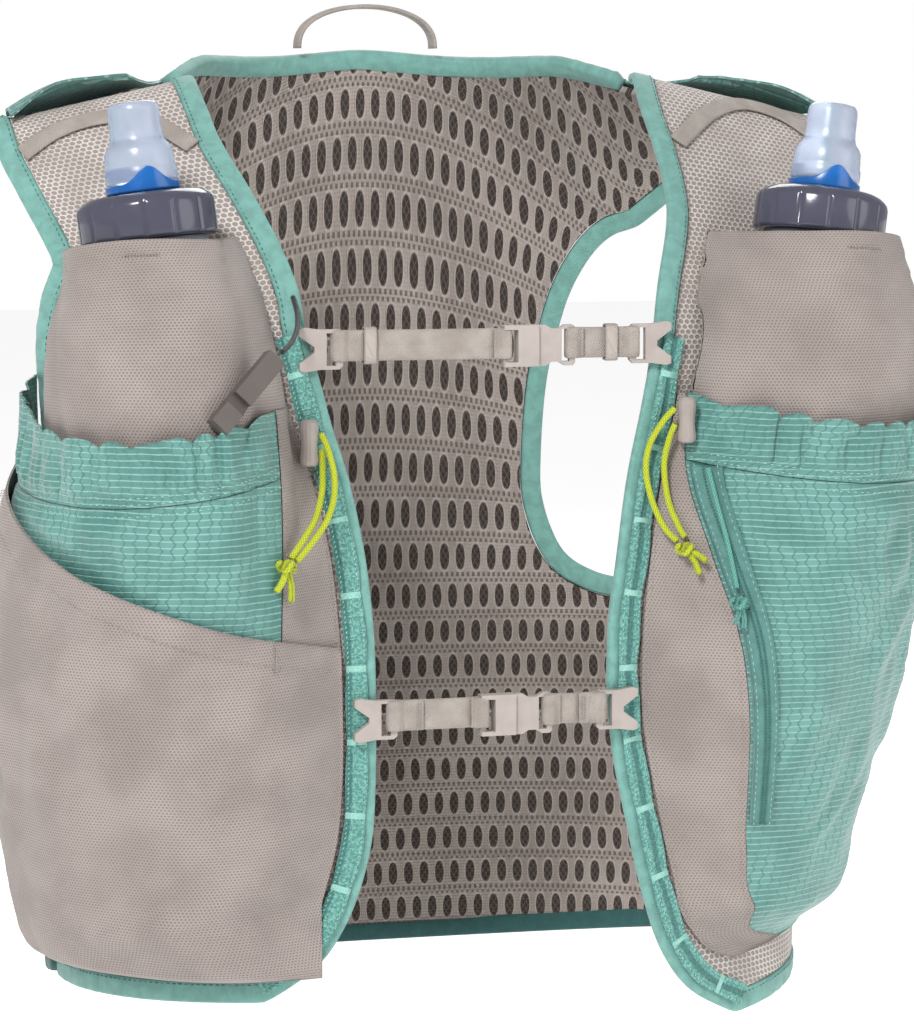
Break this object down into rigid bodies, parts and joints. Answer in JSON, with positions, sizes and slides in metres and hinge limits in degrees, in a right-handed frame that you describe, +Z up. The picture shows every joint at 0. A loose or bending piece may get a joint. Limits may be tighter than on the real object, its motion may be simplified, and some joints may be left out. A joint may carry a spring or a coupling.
{
  "type": "running hydration vest",
  "caption": "Running vest with a spacer-mesh back, flask sleeves and pockets on both fronts, two soft flasks, and buckled chest straps between the fronts.",
  "frame": {"origin": "midway between the two shoulder tops that the vest hangs from", "axes": "+Z up, the fronts face -Y, the wearer's right is -X"},
  "size_m": [0.3771, 0.2636, 0.4157],
  "materials": {
    "spacer_mesh": "knitted 3-D spacer mesh with oval holes",
    "shoulder_mesh": "open hexagonal mesh",
    "stretch_mesh": "matt stretch mesh",
    "ripstop": "thin ripstop with a slight sheen",
    "binding": "soft folded binding",
    "rail": "woven bar-tacked tape",
    "webbing": "woven webbing",
    "plastic": "moulded, fine grain",
    "flask_film": "clear soft film",
    "flask_cap": "tinted, slightly clear",
    "valve_lock": "smooth",
    "bite_valve": "clear silicone",
    "draw_cord": "braided cord",
    "cord_lock": "moulded",
    "whistle": "moulded",
    "lanyard": "braided cord",
    "zip": "coil zip tape",
    "zip_cord": "braided cord"
  },
  "bodies": {
    "root": {"back_panel": "spacer_mesh", "back_shell": "ripstop", "front_panel_r": "shoulder_mesh", "front_panel_l": "shoulder_mesh", "front_binding_r": "binding", "front_binding_l": "binding", "neck_binding": "binding", "hem_binding": "binding", "armhole_binding_r": "binding", "armhole_binding_l": "binding", "adjust_rail_r": "rail", "adjust_rail_l": "rail", "flask_body_r": "flask_film", "flask_body_l": "flask_film", "flask_cap_r": "flask_cap", "flask_cap_l": "flask_cap", "valve_base_r": "valve_lock", "valve_base_l": "valve_lock", "bite_valve_r": "bite_valve", "bite_valve_l": "bite_valve", "flask_sleeve_r": "stretch_mesh", "flask_sleeve_l": "stretch_mesh", "gathered_band_r": "ripstop", "gathered_band_l": "ripstop", "ripstop_panel_r": "ripstop", "ripstop_panel_l": "ripstop", "stretch_side_r": "stretch_mesh", "stretch_side_l": "stretch_mesh", "stretch_pocket_r": "stretch_mesh", "zipper": "zip", "zip_pull_cord": "zip_cord", "zip_pull_knot": "zip_cord", "shoulder_keeper_r": "webbing", "shoulder_keeper_l": "webbing", "grab_loop": "webbing", "strap_hook_r_upper": "plastic", "strap_hook_l_upper": "plastic", "buckle_frame_upper": "plastic", "buckle_tongue_upper": "plastic", "strap_webbing_r_upper": "webbing", "strap_webbing_l_upper": "webbing", "strap_hook_r_lower": "plastic", "strap_hook_l_lower": "plastic", "buckle_frame_lower": "plastic", "buckle_tongue_lower": "plastic", "strap_webbing_r_lower": "webbing", "strap_webbing_l_lower": "webbing", "strap_keeper_r_upper": "webbing", "strap_keeper_l_upper": "webbing", "draw_cord_r1": "draw_cord", "draw_cord_r2": "draw_cord", "draw_cord_l1": "draw_cord", "draw_cord_l2": "draw_cord", "cord_knot_r": "draw_cord", "cord_knot_l": "draw_cord", "cord_lock_r": "cord_lock", "cord_lock_l": "cord_lock", "whistle": "whistle", "whistle_cord": "lanyard"}
  },
  "joints": []
}
